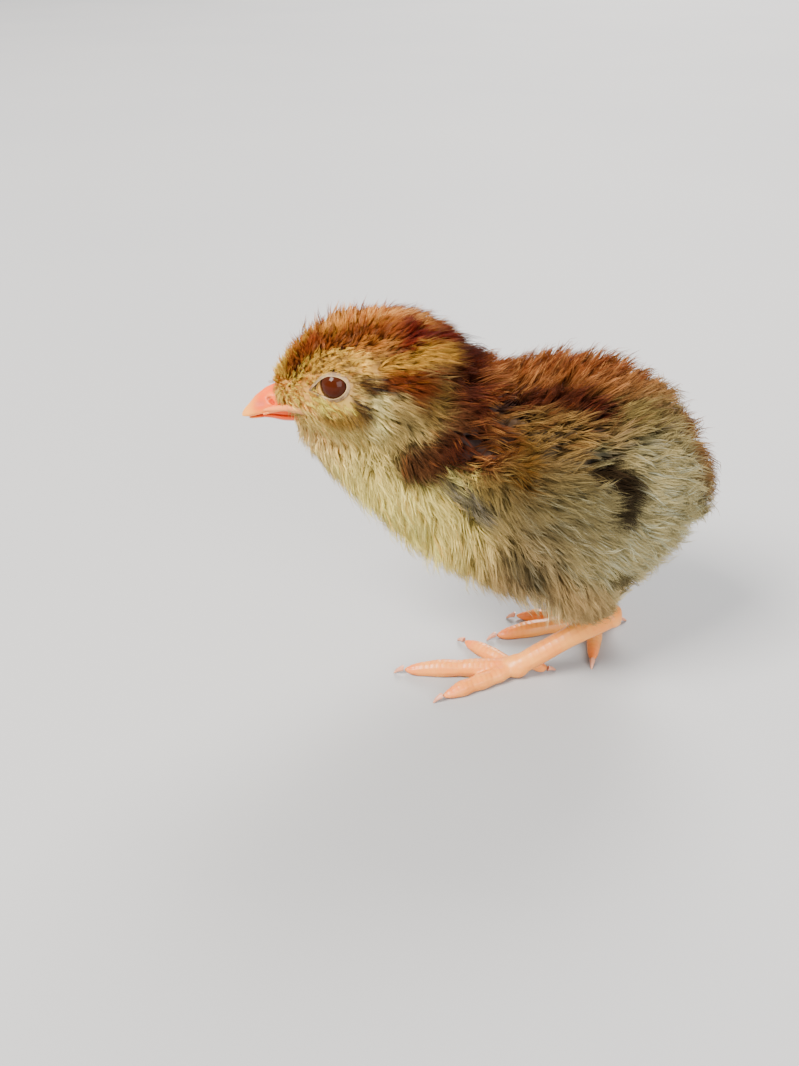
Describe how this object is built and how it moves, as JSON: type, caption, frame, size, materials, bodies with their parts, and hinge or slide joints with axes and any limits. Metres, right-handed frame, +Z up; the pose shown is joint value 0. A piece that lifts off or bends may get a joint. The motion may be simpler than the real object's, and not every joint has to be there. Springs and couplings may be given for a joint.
{
  "type": "coturnix quail chick",
  "caption": "Life-size still model of a newly hatched coturnix quail in streaked brown and buff down, standing with its head drawn in, for showing the breed.",
  "frame": {"origin": "on the floor, at the middle of the chick's length and width", "axes": "+Z up, the bill points to -Y and the tail to +Y, the chick's left side is +X"},
  "size_m": [0.033, 0.059, 0.0464],
  "materials": {
    "down": "soft dry down, streaked brown, buff and cream",
    "leg_skin": "thin peach-pink scaled skin, slightly glossy",
    "bill": "soft pale horn, pink at the gape and paler at the tip",
    "claw": "pale translucent horn",
    "lid": "pale greyish-cream bare skin",
    "eye": "wet, dark red-brown"
  },
  "bodies": {
    "root": {"torso": "down", "neck": "down", "head": "down", "tail": "down", "bill_upper": "bill", "bill_lower": "bill", "eye_left": "eye", "eye_right": "eye", "lids_left": "lid", "lids_right": "lid", "wing_left": "down", "wing_right": "down", "thigh_left": "down", "thigh_right": "down", "shank_left": "leg_skin", "shank_right": "leg_skin", "toe_middle_left": "leg_skin", "toe_inner_left": "leg_skin", "toe_outer_left": "leg_skin", "toe_hind_left": "leg_skin", "toe_middle_right": "leg_skin", "toe_inner_right": "leg_skin", "toe_outer_right": "leg_skin", "toe_hind_right": "leg_skin", "claw_middle_left": "claw", "claw_inner_left": "claw", "claw_outer_left": "claw", "claw_hind_left": "claw", "claw_middle_right": "claw", "claw_inner_right": "claw", "claw_outer_right": "claw", "claw_hind_right": "claw"}
  },
  "joints": []
}
